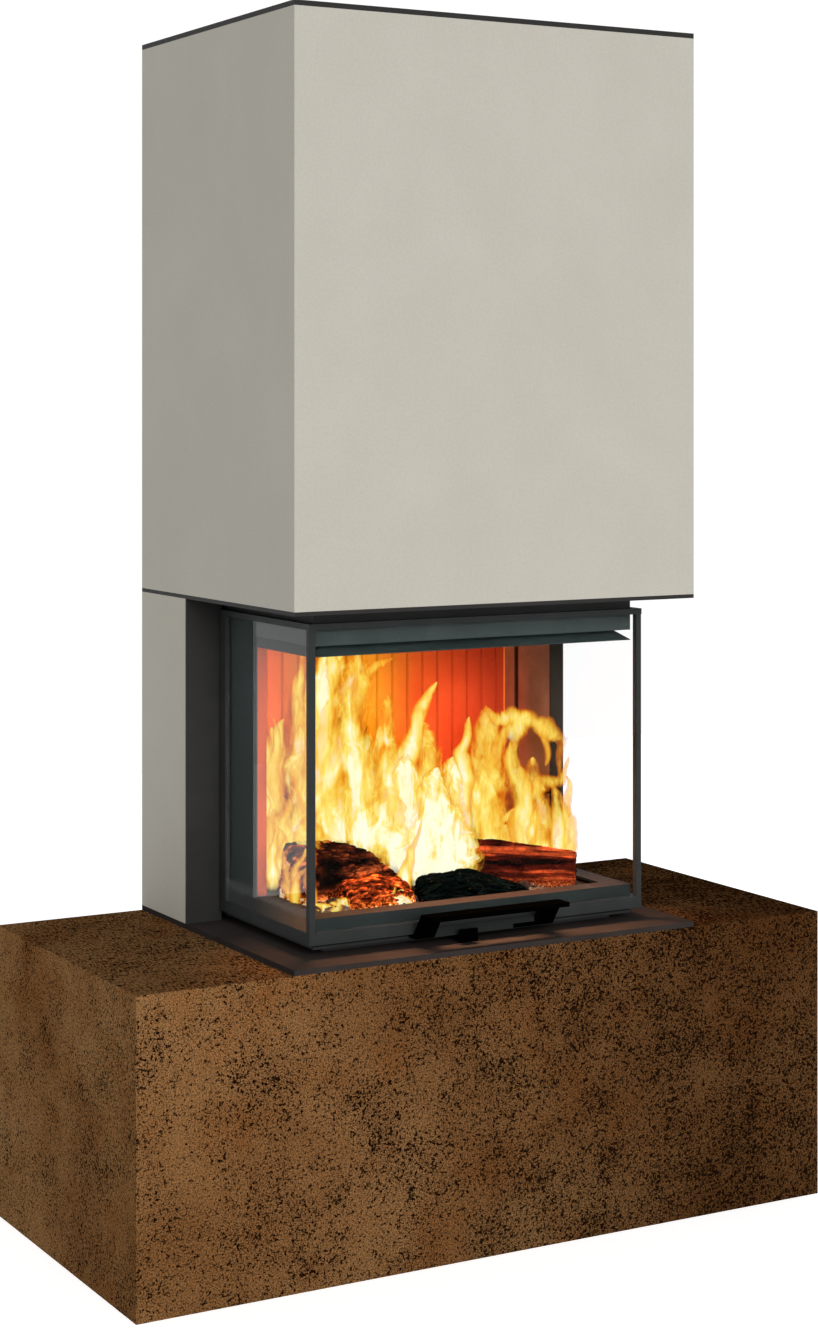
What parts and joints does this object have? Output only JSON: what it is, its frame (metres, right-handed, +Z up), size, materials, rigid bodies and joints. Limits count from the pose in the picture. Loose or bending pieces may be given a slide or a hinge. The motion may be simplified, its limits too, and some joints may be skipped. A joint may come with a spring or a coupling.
{
  "type": "wood burning stove",
  "caption": "Three-sided lift-door wood burning stove with a stone-clad hood and column on a stone-faced bench; glazed firebox with grate, air lever and counterweighted sash door.",
  "frame": {"origin": "on the floor, under the middle of the bench", "axes": "+Z up, front with the handle towards -Y, +X to the right as seen from the front"},
  "size_m": [1.19, 0.545, 1.853],
  "materials": {
    "stone_slab": "rough speckled rust-brown stone-look slab",
    "pale_panel": "matt mottled concrete-look panel",
    "black_steel": "matt black stove paint",
    "dark_steel": "matt anthracite stove paint",
    "frame_steel": "bare mild steel tube",
    "galvanised": "galvanised sheet",
    "cast_iron": "raw cast iron",
    "firebrick": "pressed refractory, sooted",
    "board": "cement board",
    "ceramic_glass": "clear heat-resistant glass",
    "seal_tape": "woven glass-fibre tape",
    "bronze": "sintered bronze",
    "wire_rope": "wire rope",
    "ground_steel": "ground steel",
    "firewood": "charred split log"
  },
  "bodies": {
    "stove": {"bench_top_slab": "stone_slab", "bench_front_slab": "stone_slab", "bench_left_slab": "stone_slab", "bench_right_slab": "stone_slab", "bench_back_board": "board", "bench_frame": "frame_steel", "levelling_feet": "ground_steel", "hearth_plate": "dark_steel", "column_left_panel": "pale_panel", "column_right_panel": "pale_panel", "left_jamb": "dark_steel", "right_jamb": "dark_steel", "hood_trim": "black_steel", "hood_front_panel": "pale_panel", "hood_left_panel": "pale_panel", "hood_right_panel": "pale_panel", "rear_cover": "galvanised", "hood_top_plate": "black_steel", "hood_frame": "frame_steel", "insert_stand": "dark_steel", "air_box": "dark_steel", "air_duct": "galvanised", "sill_frame": "dark_steel", "floor_bricks": "firebrick", "grate": "cast_iron", "ash_pan": "galvanised", "firebox_shell": "dark_steel", "corner_posts": "dark_steel", "side_linings": "firebrick", "back_lining": "firebrick", "upper_frame": "dark_steel", "air_deflector": "dark_steel", "lower_baffle": "firebrick", "upper_baffle": "firebrick", "smoke_box": "dark_steel", "flue_elbow": "dark_steel", "guide_rods": "ground_steel", "door_cables": "wire_rope", "cable_bends": "wire_rope", "weight_cables": "wire_rope", "right_log": "firewood", "front_log": "firewood", "left_log": "firewood", "ember_log": "firewood"},
    "door": {"door_bottom_rail": "dark_steel", "door_top_rail": "dark_steel", "door_corner_bars": "dark_steel", "door_stiles": "dark_steel", "front_glass": "ceramic_glass", "left_glass": "ceramic_glass", "right_glass": "ceramic_glass", "door_handle": "black_steel", "door_seals": "seal_tape", "guide_bushes": "bronze"},
    "air_control": {"air_lever": "black_steel", "air_shutter": "galvanised"},
    "right_pulley": {"right_pulley": "ground_steel"},
    "left_pulley": {"left_pulley": "ground_steel"},
    "right_counterweight": {"right_counterweight": "cast_iron"},
    "left_counterweight": {"left_counterweight": "cast_iron"}
  },
  "joints": [
    {"name": "door_lift", "type": "slide", "parent": "stove", "child": "door", "axis": [0, 0, 1], "range_m": [0, 0.43], "deforming": ["door_cables", "weight_cables"]},
    {"name": "right_weight_drop", "type": "slide", "parent": "stove", "child": "right_counterweight", "axis": [0, 0, -1], "range_m": [0, 0.431]},
    {"name": "left_weight_drop", "type": "slide", "parent": "stove", "child": "left_counterweight", "axis": [0, 0, -1], "range_m": [0, 0.431]},
    {"name": "right_pulley_turn", "type": "hinge", "parent": "stove", "child": "right_pulley", "pos_m": [0.302, 0.1805, 1.72], "axis": [-1, 0, 0], "range_deg": [0, 710]},
    {"name": "left_pulley_turn", "type": "hinge", "parent": "stove", "child": "left_pulley", "pos_m": [-0.302, 0.1805, 1.72], "axis": [-1, 0, 0], "range_deg": [0, 710]},
    {"name": "air_slide", "type": "slide", "parent": "stove", "child": "air_control", "axis": [1, 0, 0], "range_m": [-0.021, 0.099]}
  ],
  "couplings": [
    {"joint": "right_weight_drop", "follows": "door_lift", "ratio": 1},
    {"joint": "left_weight_drop", "follows": "door_lift", "ratio": 1},
    {"joint": "right_pulley_turn", "follows": "door_lift", "rad_per_m": 28.571},
    {"joint": "left_pulley_turn", "follows": "door_lift", "rad_per_m": 28.571}
  ]
}
